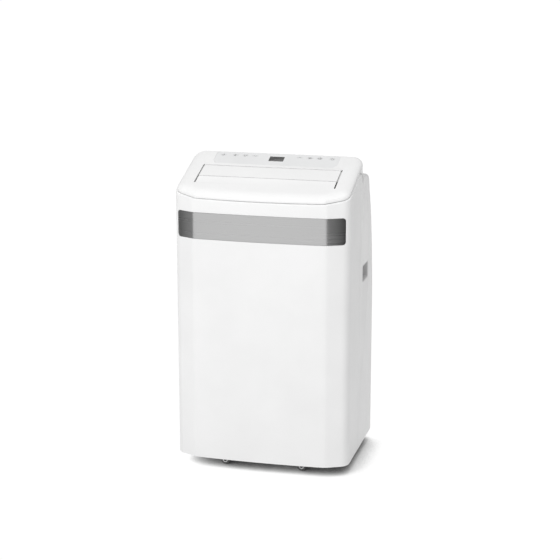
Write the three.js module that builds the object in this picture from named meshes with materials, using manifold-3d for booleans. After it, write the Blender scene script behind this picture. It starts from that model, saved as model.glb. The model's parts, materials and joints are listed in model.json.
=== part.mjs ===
// Portable air conditioner. Millimetres, +Z up, front towards -Y, origin on the floor under the body.
import * as THREE from "three";
import { ConvexGeometry } from "three/addons/geometries/ConvexGeometry.js";
import { mergeVertices } from "three/addons/utils/BufferGeometryUtils.js";
import Module from "manifold-3d";

const wasm = await Module();
wasm.setup();

// ---------- Driving dimensions ----------
const WIDTH = 440;
const DEPTH = 344;
const TOP_Z = 776; // height of the sloping top's plane at its back edge
const HALF_W = WIDTH / 2;
const FRONT_Y = -DEPTH / 2; // middle of the slightly crowned front
const CROWN_STEPS = 8;
const CROWN = 6; // how far the middle of the front stands ahead of its edges
const REAR_Y = 160; // back of the body
const PLINTH_Y = DEPTH / 2; // back of the raised exhaust plinth
const BODY_Z = 27; // lower edge of the casing
const WALL = 3;
const GAP = 0.5; // between separate covers
const SNUG = 0.3; // between a piece and the pocket or opening it's set into
const CLEAR = 0.4; // between inner pieces that touch in use

const FLAT_HALF = 167; // half-width of the front's flat, before the canted corner
const CANT = { x: 203, y: -149 }; // where the canted corner turns into the corner radius
const FRONT_CORNER = { r: 29.7, y: -122.2 }; // radius, and where its centre lies
const REAR_CORNER_R = 12;
const SPLIT_Y = -19; // vertical joint between the front and rear casings

const TOP_RISE = 0.341; // rise of the sloping top per mm of depth
const TOP_REAR_Y = 41; // back edge of the top cover
const LID_DEPTH = 13; // top surface down to the cover's lower edge
const LID_INSET = 3; // the cover stands in from the casing
const LID_EDGE = { wide: 26, deep: 10, rear: 8, steps: 4 }; // the rolled edge of the cover
const LID_CORNER_R = 25;
const SHOULDER_RISE = -0.172; // the rear casing's roof falls towards the back

const BAND = { z0: 591.3, z1: 656.9, half: 210, radius: 7, depth: 2.5 };
const HANDLE = { y0: 19, y1: 87, z0: 459, z1: 501, depth: 27, radius: 6, wall: 2.5 };

const slopeAngle = Math.atan(TOP_RISE);
const topZ = (y) => TOP_Z + TOP_RISE * (y - TOP_REAR_Y);
const lidZ = (y) => topZ(y) - LID_DEPTH;
const shoulderZ = (y) => lidZ(SPLIT_Y) + SHOULDER_RISE * (y - SPLIT_Y);

// ---------- Materials ----------
const paint = (color, roughness, metalness = 0) =>
  new THREE.MeshStandardMaterial({ color, roughness, metalness });
const whiteShell = paint(0xf2f2f2, 0.32);
const whiteInner = paint(0xdfe0e0, 0.5);
const silver = paint(0xb0b2b4, 0.35, 0.6);
const greyPlastic = paint(0x6f7275, 0.55);
const darkPlastic = paint(0x2a2c2e, 0.5);
const overlayGrey = paint(0xdadada, 0.45);
const darkGlass = paint(0x3a3c3e, 0.15);
const rubber = paint(0x1d1d1d, 0.9);
const steel = paint(0xb7babd, 0.4, 0.9);
const blackSteel = paint(0x151515, 0.45, 0.3);
const fins = paint(0xc3c7ca, 0.35, 0.9);
const copper = paint(0xb87048, 0.35, 1);
const foam = paint(0xe9eaea, 0.8);
const board = paint(0x1e6b3c, 0.5);

// ---------- Solids ----------
function solid(shape) {
  const bare = shape.index ? shape.toNonIndexed() : shape.clone();
  for (const name of Object.keys(bare.attributes)) if (name !== "position") bare.deleteAttribute(name);
  const merged = mergeVertices(bare, 1e-4);
  const triVerts = new Uint32Array(merged.index.array);
  return new wasm.Manifold(
    new wasm.Mesh({ numProp: 3, vertProperties: merged.attributes.position.array, triVerts }),
  );
}

function surface(made) {
  const { numProp, vertProperties, triVerts } = made.getMesh();
  const corners = new Float32Array(triVerts.length * 3);
  triVerts.forEach((v, i) => corners.set(vertProperties.subarray(v * numProp, v * numProp + 3), i * 3));
  const shape = new THREE.BufferGeometry();
  shape.setAttribute("position", new THREE.BufferAttribute(corners, 3));
  shape.computeVertexNormals();
  return shape;
}

const join = (...solids) => solids.reduce((a, b) => a.add(b));
const cut = (base, ...tools) => tools.reduce((a, b) => a.subtract(b), base);
const common = (...solids) => solids.reduce((a, b) => a.intersect(b));

const box = (x0, x1, y0, y1, z0, z1) =>
  solid(
    new THREE.BoxGeometry(x1 - x0, y1 - y0, z1 - z0).translate((x0 + x1) / 2, (y0 + y1) / 2, (z0 + z1) / 2),
  );

// A cylinder from `from` to `to` along an axis, through the point given by its other two coordinates.
function rod(axis, radius, from, to, a, b, segments = 16) {
  const shape = new THREE.CylinderGeometry(radius, radius, to - from, segments);
  shape.rotateY(Math.PI / segments); // a flat faces each way along the axes
  const middle = (from + to) / 2;
  if (axis === "x") return solid(shape.rotateZ(-Math.PI / 2).translate(middle, a, b));
  if (axis === "y") return solid(shape.translate(a, middle, b));
  return solid(shape.rotateX(Math.PI / 2).translate(a, b, middle));
}

const arc = (cx, cy, r, start, end, steps) =>
  Array.from({ length: steps + 1 }, (_, i) => {
    const angle = THREE.MathUtils.degToRad(start + ((end - start) * i) / steps);
    return [cx + r * Math.cos(angle), cy + r * Math.sin(angle)];
  });

const mirrored = (points) => points.map(([x, y]) => [-x, y]).reverse();

// Moves each side of a convex anticlockwise outline inwards by `distance`.
function inset(outline, distance) {
  const sideOf = (a, b) => new THREE.Vector2(a[1] - b[1], b[0] - a[0]).normalize();
  return outline.map((point, i) => {
    const before = sideOf(outline.at(i - 1), point);
    const after = sideOf(point, outline[(i + 1) % outline.length]);
    const reach = distance / (1 + before.dot(after));
    return [point[0] + (before.x + after.x) * reach, point[1] + (before.y + after.y) * reach];
  });
}

const flat = (points) => new THREE.Shape(points.map(([x, y]) => new THREE.Vector2(x, y)));
const extrude = (points, depth) =>
  new THREE.ExtrudeGeometry(flat(points), { depth, bevelEnabled: false, steps: 1 });

// Prisms of an outline seen from above, from the side (y, z) and from the front (x, z).
const fromAbove = (points, z0, z1) => solid(extrude(points, z1 - z0).translate(0, 0, z0));
const sideBasis = new THREE.Matrix4().makeBasis(
  new THREE.Vector3(0, 1, 0),
  new THREE.Vector3(0, 0, 1),
  new THREE.Vector3(1, 0, 0),
);
const fromSide = (points, x0, x1) =>
  solid(extrude(points, x1 - x0).applyMatrix4(sideBasis).translate(x0, 0, 0));
const fromFront = (points, y0, y1) =>
  solid(extrude(points, y1 - y0).rotateX(Math.PI / 2).translate(0, y1, 0));

function roundedBox2d(x0, x1, y0, y1, r, steps = 4) {
  return [
    ...arc(x1 - r, y0 + r, r, -90, 0, steps),
    ...arc(x1 - r, y1 - r, r, 0, 90, steps),
    ...arc(x0 + r, y1 - r, r, 90, 180, steps),
    ...arc(x0 + r, y0 + r, r, 180, 270, steps),
  ];
}

function turned(profile, segments = 20) {
  const points = profile.map(([r, z]) => new THREE.Vector2(r, z));
  return new THREE.LatheGeometry(points, segments).rotateX(Math.PI / 2);
}

function pipe(points, radius, steps) {
  const path = new THREE.CatmullRomCurve3(points.map((p) => new THREE.Vector3(...p)), false, "centripetal");
  const section = new THREE.Shape(arc(0, 0, radius, 0, 300, 5).map(([x, y]) => new THREE.Vector2(x, y)));
  return solid(new THREE.ExtrudeGeometry(section, { steps, extrudePath: path, bevelEnabled: false }));
}

const model = new THREE.Group();
function part(name, made, material, parent = model) {
  const mesh = new THREE.Mesh(surface(made), material);
  mesh.name = name;
  parent.add(mesh);
  return mesh;
}

// ---------- Casing outlines ----------
function crownedFront(halfWidth, edgeY, crownY) {
  const sag = edgeY - crownY;
  const radius = (halfWidth * halfWidth + sag * sag) / (2 * sag);
  const reach = THREE.MathUtils.radToDeg(Math.asin(halfWidth / radius));
  return arc(0, crownY + radius, radius, -90 - reach, -90 + reach, CROWN_STEPS);
}

// Plan outline of the casing: crowned front, canted corners, straight sides, round rear corners.
function planOutline(rearY, rearRadius) {
  const cantAngle = THREE.MathUtils.radToDeg(Math.atan2(CANT.y - (FRONT_Y + CROWN), CANT.x - FLAT_HALF));
  const { r, y } = FRONT_CORNER;
  const rightSide = [
    ...arc(HALF_W - r, y, r, cantAngle - 90, 0, 4),
    ...arc(HALF_W - rearRadius, rearY - rearRadius, rearRadius, 0, 90, 4),
  ];
  return [...crownedFront(FLAT_HALF, FRONT_Y + CROWN, FRONT_Y), ...rightSide, ...mirrored(rightSide)];
}

const casingPlan = planOutline(REAR_Y, REAR_CORNER_R);
const plinthPlan = planOutline(PLINTH_Y, REAR_CORNER_R);

// Side profile of the rear casing: upright back, leaning upper back, rounded shoulder, roof.
const leaningBack = new THREE.SplineCurve(
  [
    [REAR_Y, 395],
    [157, 440],
    [148, 515],
    [135, 592],
    [119, 648],
    [104, 690],
  ].map(([y, z]) => new THREE.Vector2(y, z)),
);
const rearProfile = [
  [SPLIT_Y - 20, BODY_Z - 20],
  [REAR_Y, BODY_Z - 20],
  ...leaningBack.getPoints(8).map((p) => [p.x, p.y]),
  [97, 706],
  [89, 716],
  [79, shoulderZ(79)],
  [SPLIT_Y - 20, shoulderZ(SPLIT_Y - 20)],
];

const plinthProfile = [
  [REAR_Y - 20, 264],
  [REAR_Y, 264],
  [PLINTH_Y, 276],
  [PLINTH_Y, 410],
  [REAR_Y, 422],
  [REAR_Y - 20, 422],
];

// The rear casing's full form, inset by `d`, with everything ahead of the joint cut away by the caller.
function rearForm(d) {
  const back = common(
    fromAbove(inset(casingPlan, d), 0, TOP_Z),
    fromSide(inset(rearProfile, d), -HALF_W, HALF_W),
  );
  const plinth = common(
    fromAbove(inset(plinthPlan, d), BODY_Z, TOP_Z),
    fromSide(inset(plinthProfile, d), -HALF_W + 6 + d, HALF_W - 6 - d),
  );
  return join(back, plinth);
}

// ---------- Front casing and trim band ----------
function frontCasing() {
  const outline = [
    [FRONT_Y - 5, BODY_Z],
    [SPLIT_Y - GAP / 2, BODY_Z],
    [SPLIT_Y - GAP / 2, lidZ(SPLIT_Y) - GAP],
    [FRONT_Y - 5, lidZ(FRONT_Y - 5) - GAP],
  ];
  const wall = cut(
    fromAbove(casingPlan, 0, TOP_Z),
    fromAbove(inset(casingPlan, WALL), -1, TOP_Z + 1),
  );
  return cut(common(wall, fromSide(outline, -HALF_W, HALF_W)), bandForm(SNUG, -2, BAND.depth));
}
part("front_panel", frontCasing(), whiteShell);

// The band's outline `grow` larger all round, between two depths below the casing's face.
function bandForm(grow, outer, inner) {
  const { half, z0, z1, radius } = BAND;
  const outline = roundedBox2d(-half - grow, half + grow, z0 - grow, z1 + grow, radius);
  const layer = cut(
    fromAbove(inset(casingPlan, outer), z0 - 10, z1 + 10),
    fromAbove(inset(casingPlan, inner), z0 - 11, z1 + 11),
  );
  return common(layer, fromFront(outline, FRONT_Y - 10, CANT.y + 60));
}
part("trim_band", bandForm(0, 0.4, BAND.depth - SNUG), silver);

// ---------- Rear casing ----------
const UPPER_GRILLE = { half: 166, z0: 446, z1: 684 };
const LOWER_GRILLE = { half: 166, z0: 64, z1: 248 };
const EXHAUST = { x: 60, z: 343, bore: 71, flange: 84 };
const DRAINS = [
  { name: "drain_plug_upper", x: -190, z: 236 },
  { name: "drain_plug_lower", x: -150, z: 46 },
];
const DRAIN_R = 8;
const CORD_INLET = { x: 188, z: 90, r: 9 };
const BEHIND = 190; // a plane clear of the back, which openings in it are cut out to

// The grip recess's outline `grow` larger all round, between two distances from the middle plane.
function gripForm(side, grow, from, to) {
  const { y0, y1, z0, z1, radius } = HANDLE;
  const outline = roundedBox2d(y0 - grow, y1 + grow, z0 - grow, z1 + grow, radius);
  return side > 0 ? fromSide(outline, from, to) : fromSide(outline, -to, -from);
}

// A shallow thumb notch in each shoulder, behind the end of the cover's skirt.
function fingerNotch(side) {
  const bead = new THREE.SphereGeometry(1, 10, 8).scale(4, 5, 11);
  return solid(bead.translate(side * (HALF_W - 0.5), 8, 726));
}

function rearCasing() {
  const lid = [
    [SPLIT_Y - 5, lidZ(SPLIT_Y) - GAP],
    [SPLIT_Y, lidZ(SPLIT_Y) - GAP],
    [TOP_REAR_Y + GAP, shoulderZ(TOP_REAR_Y) - GAP],
    [TOP_REAR_Y + GAP, TOP_Z],
    [SPLIT_Y - 5, TOP_Z],
  ];
  return cut(
    rearForm(0),
    rearForm(WALL),
    box(-HALF_W - 5, HALF_W + 5, FRONT_Y - 5, REAR_Y + 5, -5, BODY_Z),
    box(-HALF_W - 5, HALF_W + 5, FRONT_Y - 5, SPLIT_Y + GAP / 2, -5, TOP_Z + 5),
    fromSide(lid, -HALF_W - 1, HALF_W + 1),
    box(-UPPER_GRILLE.half, UPPER_GRILLE.half, 60, BEHIND, UPPER_GRILLE.z0, UPPER_GRILLE.z1),
    box(-LOWER_GRILLE.half, LOWER_GRILLE.half, 140, BEHIND, LOWER_GRILLE.z0, LOWER_GRILLE.z1),
    rod("y", EXHAUST.bore + 3, 130, BEHIND, EXHAUST.x, EXHAUST.z, 32),
    rod("y", EXHAUST.flange + GAP, PLINTH_Y - 2, BEHIND, EXHAUST.x, EXHAUST.z, 32),
    rod("y", CORD_INLET.r + CLEAR, 140, BEHIND, CORD_INLET.x, CORD_INLET.z),
    ...DRAINS.map(({ x, z }) => rod("y", DRAIN_R + CLEAR, 140, BEHIND, x, z)),
    ...[-1, 1].flatMap((side) => [gripForm(side, GAP, HALF_W - 10, HALF_W + 5), fingerNotch(side)]),
  );
}
part("rear_shell", rearCasing(), whiteShell);

function handleCup(side) {
  const { depth, wall } = HANDLE;
  const rim = HALF_W - 0.6;
  return cut(gripForm(side, 0, rim - depth, rim), gripForm(side, -wall, rim - depth + wall, rim + 5));
}
part("handle_left", handleCup(-1), greyPlastic);
part("handle_right", handleCup(1), greyPlastic);

// ---------- Rear grilles, filter, exhaust collar and plugs ----------
const SLOTS = { pitch: 17, open: 11, border: 10, rib: 6, margin: 12 }; // of both grilles
function grilleSlots(half, z0, z1) {
  const slots = [];
  for (let z = z0; z + SLOTS.open < z1; z += SLOTS.pitch)
    for (const side of [-1, 1]) {
      const ends = [(side * SLOTS.rib) / 2, side * (half - SLOTS.border - SLOTS.rib / 2)];
      slots.push(box(Math.min(...ends), Math.max(...ends), 60, BEHIND, z, z + SLOTS.open));
    }
  return slots;
}

function upperGrille() {
  const { half, z0, z1 } = UPPER_GRILLE;
  const window = box(-half + GAP, half - GAP, 60, BEHIND, z0 + GAP, z1 - GAP);
  const panel = common(cut(rearForm(SNUG), rearForm(WALL)), window);
  return cut(panel, ...grilleSlots(half, z0 + SLOTS.margin, z1 - SLOTS.margin - 10));
}
part("upper_filter_grille", upperGrille(), whiteShell);

function filterMesh() {
  const { half, z0, z1 } = UPPER_GRILLE;
  const sheet = cut(rearForm(WALL + 1.4), rearForm(2 * WALL));
  return common(sheet, box(-half + 4, half - 4, 60, BEHIND, z0 + 5, z1 - 5));
}
part("upper_filter_mesh", filterMesh(), darkPlastic);

function lowerGrille() {
  const { half, z0, z1 } = LOWER_GRILLE;
  const panel = box(-half + GAP, half - GAP, REAR_Y - WALL, REAR_Y - SNUG, z0 + GAP, z1 - GAP);
  return cut(panel, ...grilleSlots(half, z0 + SLOTS.margin, z1 - SLOTS.margin));
}
part("lower_intake_grille", lowerGrille(), whiteShell);

function exhaustCollar() {
  const { x, z, bore, flange } = EXHAUST;
  const rim = rod("y", flange, PLINTH_Y - 1.7, PLINTH_Y, x, z, 32);
  const sleeve = rod("y", bore + 2.6, 146, PLINTH_Y - 1, x, z, 32);
  return cut(join(rim, sleeve), rod("y", bore, 140, BEHIND, x, z, 32));
}
part("exhaust_collar", exhaustCollar(), whiteShell);

function drainPlug({ name, x, z }) {
  const plug = join(
    rod("y", DRAIN_R, REAR_Y - 10, REAR_Y + 1.5, x, z),
    rod("y", DRAIN_R + 4, REAR_Y + 0.4, REAR_Y + 3.4, x, z),
    box(x - 2.5, x + 2.5, REAR_Y + 3, REAR_Y + 9, z - 6, z + 6),
  );
  part(name, plug, rubber);
}
DRAINS.forEach(drainPlug);

function cordInlet() {
  const { x, z, r } = CORD_INLET;
  return cut(
    join(rod("y", r, REAR_Y - 12, REAR_Y + 1, x, z), rod("y", r + 3, REAR_Y + 0.4, REAR_Y + 4, x, z)),
    rod("y", 4.2, REAR_Y - 6, REAR_Y + 10, x, z),
  );
}
part("cord_inlet", cordInlet(), darkPlastic);

// ---------- Top cover ----------
const lidPlan = (() => {
  const rightSide = [
    ...inset(casingPlan, LID_INSET).slice(CROWN_STEPS + 1, CROWN_STEPS + 6),
    ...arc(HALF_W - LID_INSET - LID_CORNER_R, TOP_REAR_Y - LID_CORNER_R, LID_CORNER_R, 0, 90, 5),
  ];
  const front = crownedFront(FLAT_HALF - 1, FRONT_Y + CROWN + 1.2, FRONT_Y + 1.2);
  return [...front, ...rightSide, ...mirrored(rightSide)];
})();

// The cover's convex form: stacked outlines that draw in towards the sloping top along a rolled edge,
// which is wide along the front and the sides and tight along the back.
function lidForm(d) {
  const points = [];
  const layer = (share, depth) =>
    inset(lidPlan, d + LID_EDGE.wide * share).forEach(([x, y]) => {
      const toBack = THREE.MathUtils.smoothstep(y, -80, TOP_REAR_Y - LID_EDGE.wide);
      const py = y + (LID_EDGE.wide - LID_EDGE.rear) * share * toBack;
      points.push(new THREE.Vector3(x, py, topZ(py) - d - depth));
    });
  for (let i = 0; i <= LID_EDGE.steps; i++) {
    const angle = (i * Math.PI) / 2 / LID_EDGE.steps;
    layer(1 - Math.cos(angle), LID_EDGE.deep * (1 - Math.sin(angle)));
  }
  layer(0, 60);
  return solid(new ConvexGeometry(points));
}

// Slope frame: u across, v up the slope, w out of the surface, from a point on the sloping top.
const SLOPE_Y = -150;
const slopeMatrix = new THREE.Matrix4()
  .makeRotationX(slopeAngle)
  .setPosition(0, SLOPE_Y, topZ(SLOPE_Y));
const sloped = (made) => solid(surface(made).applyMatrix4(slopeMatrix));
const slopeGroup = new THREE.Group();
slopeGroup.applyMatrix4(slopeMatrix);
model.add(slopeGroup);

// The blade lies between the seam and v1 and pivots at its back; a slit at each end runs from v0 to v1.
const LOUVER = {
  half: 173.3,
  slot: 177.3,
  v0: 33.8,
  seam: 67.6,
  gap: 1.9,
  v1: 127.5,
  thick: 3,
  pivot: 6, // radius of the blade's round back end
  lip: 4.6, // how far ahead of the cover's overhanging edge the pivot lies
};
const pivotV = LOUVER.v1 - LOUVER.pivot - GAP;
const STRIP = { v0: 135, v1: 194, front: 150, rear: 158, depth: 1.5 };
const DISPLAY = { half: 18.5, v0: 156.5, v1: 180 };
const BUTTON = { xs: [-140, -108, -83, -57, 57, 83, 108, 140], v: 179, r: 6.1, deep: 6.2, travel: 0.8 };
function stripOutline(grow) {
  const { v0, v1, front, rear } = STRIP;
  const rightEnd = [
    [front, v0],
    [front + 7, v0 + 9],
    [rear, v1 - 6],
    [rear - 6, v1],
  ];
  return inset([...rightEnd, ...mirrored(rightEnd)], -grow);
}

function displayForm(grow, low, high) {
  const { half, v0, v1 } = DISPLAY;
  return box(-half - grow, half + grow, v0 - grow, v1 + grow, low, high);
}

// The slits beside the louver, which its cheeks swing up through.
function slit(side) {
  const ends = [side * LOUVER.half, side * LOUVER.slot];
  return box(Math.min(...ends), Math.max(...ends), LOUVER.v0, LOUVER.v1, -30, 10);
}

function topCover() {
  const under = [
    [FRONT_Y - 5, lidZ(FRONT_Y - 5)],
    [SPLIT_Y, lidZ(SPLIT_Y)],
    [TOP_REAR_Y + 1, shoulderZ(TOP_REAR_Y)],
    [TOP_REAR_Y + 1, 600],
    [FRONT_Y - 5, 600],
  ];
  const openings = join(
    box(-LOUVER.slot, LOUVER.slot, LOUVER.seam, pivotV + LOUVER.lip, -30, 10),
    rod("x", LOUVER.pivot + CLEAR, -LOUVER.slot, LOUVER.slot, pivotV, -LOUVER.pivot, 32),
    slit(-1),
    slit(1),
    displayForm(0, -30, 10),
    fromAbove(stripOutline(SNUG), -STRIP.depth, 10),
    ...BUTTON.xs.map((x) => rod("z", BUTTON.r + CLEAR, -30, 10, x, BUTTON.v)),
  );
  return cut(lidForm(0), lidForm(WALL), fromSide(under, -HALF_W - 5, HALF_W + 5), sloped(openings));
}
part("top_cover", topCover(), whiteShell);

// ---------- Louver, its drive, and the outlet below it ----------
const CHEEK = { thick: 1.8, reach: pivotV - LOUVER.v0 - 0.8, sweep: 14 };
const LOUVER_PIN = { r: 2, past: 3.2 }; // its radius, and how far it runs past the slits

// The louver about its own pivot: a blade whose back end is round about the pivot, a cheek at each end
// on a tab under the blade, and a pin along the pivot.
function louver() {
  const { half, slot, seam, gap, thick, pivot } = LOUVER;
  const bladeFront = seam + gap - pivotV;
  const middle = (half + slot) / 2;
  const cheekOutline = [[0, 2], ...arc(0, 0, CHEEK.reach, 180, 180 + CHEEK.sweep, 4), [0, -5]].reverse();
  const cheeks = [-1, 1].flatMap((side) => {
    const x = side * middle;
    const inner = Math.min(x - side * 6, x + (side * CHEEK.thick) / 2);
    return [
      fromSide(cheekOutline, x - CHEEK.thick / 2, x + CHEEK.thick / 2),
      box(inner, inner + 6 + CHEEK.thick / 2, bladeFront + 4, 0, pivot - thick - 2, pivot - thick + 0.5),
    ];
  });
  return join(
    box(-half, half, bladeFront, 0, pivot - thick, pivot),
    rod("x", pivot, -half, half, 0, 0, 24),
    rod("x", LOUVER_PIN.r, -slot - LOUVER_PIN.past, slot + LOUVER_PIN.past, 0, 0, 12),
    ...cheeks,
  );
}
part("louver", louver(), whiteShell, slopeGroup).position.set(0, pivotV, -LOUVER.pivot);

const THROAT = { v0: 30, v1: 128.5, floor: -42, wall: 2.6 };
function outletFrame() {
  const { v0, v1, floor, wall } = THROAT;
  const cheek = LOUVER.slot + 3.6;
  return cut(
    box(-cheek, cheek, v0 - wall, v1 + wall, floor, -WALL - CLEAR),
    box(-LOUVER.slot, LOUVER.slot, v0, v1, floor - 1, 1),
    rod("x", LOUVER_PIN.r + CLEAR, -cheek - 2, cheek + 2, pivotV, -LOUVER.pivot, 12),
    box(-cheek - 2, cheek + 2, pivotV - 2.3, pivotV + 2.3, -LOUVER.pivot, 2),
  );
}
part("outlet_frame", outletFrame(), whiteInner, slopeGroup);

function outletGrille() {
  const { v0, v1, floor, wall } = THROAT;
  const ribs = 14;
  const bay = (2 * LOUVER.slot) / ribs;
  const bays = Array.from({ length: ribs }, (_, i) => {
    const start = -LOUVER.slot + i * bay;
    return box(start + 1.2, start + bay - 1.2, v0 + 2, v1 - 2, floor - 10, floor + 5);
  });
  const half = LOUVER.slot + 3.6;
  return cut(box(-half, half, v0 - wall, v1 + wall, floor - 5, floor - CLEAR), ...bays);
}
part("outlet_grille", outletGrille(), darkPlastic, slopeGroup);

function louverMotor() {
  const x0 = LOUVER.slot + 4.2;
  const lug = { front: 24, back: 9 };
  return join(
    rod("x", 12, x0, x0 + 17, pivotV, -LOUVER.pivot - 10, 20),
    box(x0, x0 + 1.2, pivotV - lug.front, pivotV + lug.back, -LOUVER.pivot - 14, -LOUVER.pivot - 6),
  );
}
part("louver_motor", louverMotor(), steel, slopeGroup);

// The duct spreads from the blower's outlet to the whole width of the throat.
const EVAP = { x: -10, z: 545, y0: -112, y1: -36, r0: 93, r1: 130, top: 640 };
const evapExit = { x0: EVAP.x + 56, x1: EVAP.x + EVAP.r1 };
function outletDuct() {
  const corner = (x, y, z) => new THREE.Vector3(x, y, z);
  const onSlope = (u, v, w) => new THREE.Vector3(u, v, w).applyMatrix4(slopeMatrix);
  const form = (d, reach) => {
    const points = [];
    for (const x of [evapExit.x0 + d, evapExit.x1 - d])
      for (const y of [EVAP.y0 + d, EVAP.y1 - d]) points.push(corner(x, y, EVAP.top + 1 - reach));
    for (const u of [-LOUVER.slot - 3 + d, LOUVER.slot + 3 - d])
      for (const v of [THROAT.v0 - 2 + d, THROAT.v1 + 2 - d])
        points.push(onSlope(u, v, THROAT.floor - 6 + reach));
    return solid(new ConvexGeometry(points));
  };
  return cut(form(0, 0), form(2.5, 1));
}
part("outlet_duct", outletDuct(), foam);

// ---------- Controls ----------
function controlOverlay() {
  return cut(
    fromAbove(stripOutline(0), -STRIP.depth + SNUG, -0.1),
    displayForm(SNUG, -5, 5),
    ...BUTTON.xs.map((x) => rod("z", BUTTON.r + CLEAR, -5, 5, x, BUTTON.v)),
  );
}
part("control_overlay", controlOverlay(), overlayGrey, slopeGroup);
part("display_window", displayForm(-SNUG, -3, -0.1), darkGlass, slopeGroup);

const buttonNames = ["ion", "sleep", "fan", "down", "up", "mode", "timer", "power"];
buttonNames.forEach((label, i) => {
  const cap = rod("z", BUTTON.r, -BUTTON.deep, -0.1, BUTTON.xs[i], BUTTON.v);
  part(`button_${label}`, cap, overlayGrey, slopeGroup);
});

function controlBoard() {
  const floor = -BUTTON.deep - BUTTON.travel - SNUG;
  const switches = BUTTON.xs.map((x) => box(x - 3, x + 3, BUTTON.v - 3, BUTTON.v + 3, floor - 3, floor));
  return join(
    box(-150, 150, 143, 182, floor - 4, floor - 2.4),
    box(-DISPLAY.half + 2, DISPLAY.half - 2, DISPLAY.v0 + 3, DISPLAY.v1 - 3, floor - 3, -4),
    ...switches,
  );
}
part("control_board", controlBoard(), board, slopeGroup);

// ---------- Base pan and casters ----------
const CASTERS = [
  ["front_left", -96.3, -121],
  ["front_right", 96.3, -121],
  ["rear_left", -96.3, 112],
  ["rear_right", 96.3, 112],
];
const FORK = { thick: 6.4, neck: 24.8, flange: 11, stem: 4, trail: 3 }; // the wheel trails outwards
const WHEEL = { r: 11, sides: 20, inner: 3.7, outer: 9.8, dish: 7, deep: 1.5, hub: 2.5 };
const PAN = { z0: 28, floor: 32, rim: 62 };
const COMPRESSOR = { x: -120, y: 30, r: 52, foot: 73.4 };
const PEDESTAL_TOP = 56;
const MOUNT_R = 60; // the compressor's feet stand on this radius
const mountPoints = [90, 210, 330].map((deg) => {
  const angle = THREE.MathUtils.degToRad(deg);
  return [COMPRESSOR.x + MOUNT_R * Math.cos(angle), COMPRESSOR.y + MOUNT_R * Math.sin(angle)];
});

function basePan() {
  const tray = cut(
    fromAbove(inset(casingPlan, WALL + CLEAR), PAN.z0, PAN.rim),
    fromAbove(inset(casingPlan, 2 * WALL + CLEAR), PAN.floor, PAN.rim + 1),
  );
  const bosses = CASTERS.map(([, x, y]) => rod("z", 9, PAN.floor - 1, 52, x, y, 12));
  const pedestals = mountPoints.map(([x, y]) => rod("z", 11, PAN.floor - 1, PEDESTAL_TOP, x, y, 12));
  const stems = CASTERS.map(([, x, y]) => rod("z", FORK.stem + 0.5, 20, 50, x, y, 12));
  const drain = rod("y", DRAIN_R + CLEAR, 140, 170, DRAINS[1].x, DRAINS[1].z);
  return cut(join(tray, ...bosses, ...pedestals), ...stems, drain);
}
part("base_pan", basePan(), greyPlastic);

for (const [place, x, y] of CASTERS) {
  const side = Math.sign(x);
  const wheelX = x + side * FORK.trail;
  const outline = [
    [wheelX + side * 5, 7],
    [wheelX - side * 5, 7],
    [x - side * 6, 18],
    [x - side * 6, FORK.neck],
    [wheelX + side * 7, FORK.neck],
    [wheelX + side * 8, 18],
  ];
  const fork = cut(
    join(
      fromFront(outline, y - FORK.thick / 2, y + FORK.thick / 2),
      rod("z", FORK.flange, FORK.neck - 0.2, FORK.neck + 2.6, x, y),
      rod("z", FORK.stem, FORK.neck + 2.2, 48, x, y, 12),
    ),
    rod("y", WHEEL.hub + CLEAR, y - 10, y + 10, wheelX, WHEEL.r, 16),
  );
  part(`caster_fork_${place}`, fork, steel);

  const tread = WHEEL.r / Math.cos(Math.PI / WHEEL.sides); // its flats touch the floor
  const disc = (from, to) => rod("y", tread, from, to, wheelX, WHEEL.r, WHEEL.sides);
  const dish = (from, to) => rod("y", WHEEL.dish, from, to, wheelX, WHEEL.r);
  const wheel = cut(
    join(
      disc(y - WHEEL.outer, y - WHEEL.inner),
      disc(y + WHEEL.inner, y + WHEEL.outer),
      rod("y", WHEEL.hub, y - 5, y + 5, wheelX, WHEEL.r, 16),
    ),
    dish(y - 12, y - WHEEL.outer + WHEEL.deep),
    dish(y + WHEEL.outer - WHEEL.deep, y + 12),
  );
  part(`caster_wheel_${place}`, wheel, greyPlastic);
}

// ---------- Refrigeration circuit ----------
const NECK_R = 4; // each rubber grommet's neck, which stands up through a foot
function compressorBody() {
  const { x, y, r, foot } = COMPRESSOR;
  const dome = [
    [0, 76],
    [r - 14, 76],
    [r - 3, 86],
    [r, 100],
    [r, 268],
    [r - 4, 284],
    [r - 18, 296],
    [12, 301],
    [0, 301],
  ];
  const feet = mountPoints.map(([mx, my]) => rod("z", 12, foot, foot + 3, mx, my, 12));
  const plate = rod("z", r + 4, foot, foot + 3.6, x, y, 24);
  const holes = mountPoints.map(([mx, my]) => rod("z", NECK_R + CLEAR, foot - 3, foot + 7, mx, my, 12));
  return cut(join(solid(turned(dome)).translate([x, y, 0]), plate, ...feet), ...holes);
}
part("compressor", compressorBody(), blackSteel);

mountPoints.forEach(([x, y], i) => {
  const top = COMPRESSOR.foot - CLEAR;
  const body = rod("z", 9, PEDESTAL_TOP + CLEAR, top, x, y, 12);
  const neck = rod("z", NECK_R, top - 1, top + 6, x, y, 12);
  part(`compressor_grommet_${i + 1}`, join(body, neck), rubber);
});

const ACCUMULATOR = { x: COMPRESSOR.x, y: COMPRESSOR.y - COMPRESSOR.r - 22, r: 18 };
function accumulator() {
  const { x, y, r } = ACCUMULATOR;
  const can = [
    [0, 120],
    [r - 7, 122],
    [r, 134],
    [r, 238],
    [r - 7, 250],
    [0, 253],
  ];
  return join(solid(turned(can, 20)).translate([x, y, 0]), box(x - 5, x + 5, y + r - 3, y + 21, 180, 190));
}
part("accumulator", accumulator(), blackSteel);

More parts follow.
